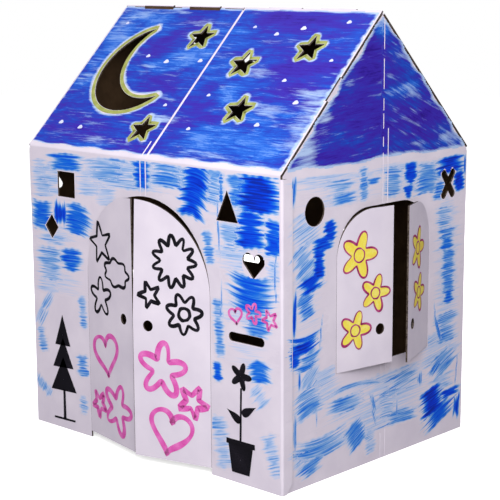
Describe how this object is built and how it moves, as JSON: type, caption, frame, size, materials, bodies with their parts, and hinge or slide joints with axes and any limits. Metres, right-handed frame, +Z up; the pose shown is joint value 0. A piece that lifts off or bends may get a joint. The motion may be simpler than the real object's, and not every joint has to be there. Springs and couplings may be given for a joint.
{
  "type": "cardboard playhouse",
  "caption": "Child-size cardboard playhouse with a gable roof, arched double doors, shuttered windows, a mail slot and cut-out moon, stars and shapes.",
  "frame": {"origin": "on the floor, at the middle of the house's footprint", "axes": "+Z up, X along the ridge, the front wall with the door faces -Y"},
  "size_m": [0.9268, 0.7532, 1.0055],
  "materials": {
    "painted_board": "white-faced board, hand painted in poster blue",
    "white_board": "bare white-faced board"
  },
  "bodies": {
    "house": {"front_half": "painted_board", "rear_half": "painted_board"},
    "front_door_left": {"front_door_left": "white_board"},
    "front_door_right": {"front_door_right": "white_board"},
    "right_shutter_front": {"right_shutter_front": "white_board"},
    "right_shutter_rear": {"right_shutter_rear": "white_board"},
    "rear_door_left": {"rear_door_left": "white_board"},
    "rear_door_right": {"rear_door_right": "white_board"},
    "left_shutter_rear": {"left_shutter_rear": "white_board"},
    "left_shutter_front": {"left_shutter_front": "white_board"}
  },
  "joints": [
    {"name": "front_door_left_hinge", "type": "hinge", "parent": "house", "child": "front_door_left", "pos_m": [-0.2, -0.327, 0.318], "axis": [0, 0, -1], "range_deg": [-11.6, 138.4]},
    {"name": "rear_door_left_hinge", "type": "hinge", "parent": "house", "child": "rear_door_left", "pos_m": [0.2, 0.327, 0.318], "axis": [0, 0, -1], "range_deg": [-11.6, 138.4]},
    {"name": "front_door_right_hinge", "type": "hinge", "parent": "house", "child": "front_door_right", "pos_m": [0.2, -0.327, 0.318], "axis": [0, 0, 1], "range_deg": [-14.4, 135.6]},
    {"name": "rear_door_right_hinge", "type": "hinge", "parent": "house", "child": "rear_door_right", "pos_m": [-0.2, 0.327, 0.318], "axis": [0, 0, 1], "range_deg": [-14.4, 135.6]},
    {"name": "right_shutter_front_hinge", "type": "hinge", "parent": "house", "child": "right_shutter_front", "pos_m": [0.4045, -0.1485, 0.311], "axis": [0, 0, -1], "range_deg": [-9.5, 140.5]},
    {"name": "left_shutter_rear_hinge", "type": "hinge", "parent": "house", "child": "left_shutter_rear", "pos_m": [-0.4045, 0.1485, 0.311], "axis": [0, 0, -1], "range_deg": [-9.5, 140.5]},
    {"name": "right_shutter_rear_hinge", "type": "hinge", "parent": "house", "child": "right_shutter_rear", "pos_m": [0.4045, 0.1815, 0.311], "axis": [0, 0, 1], "range_deg": [-21, 129]},
    {"name": "left_shutter_front_hinge", "type": "hinge", "parent": "house", "child": "left_shutter_front", "pos_m": [-0.4045, -0.1815, 0.311], "axis": [0, 0, 1], "range_deg": [-21, 129]}
  ]
}
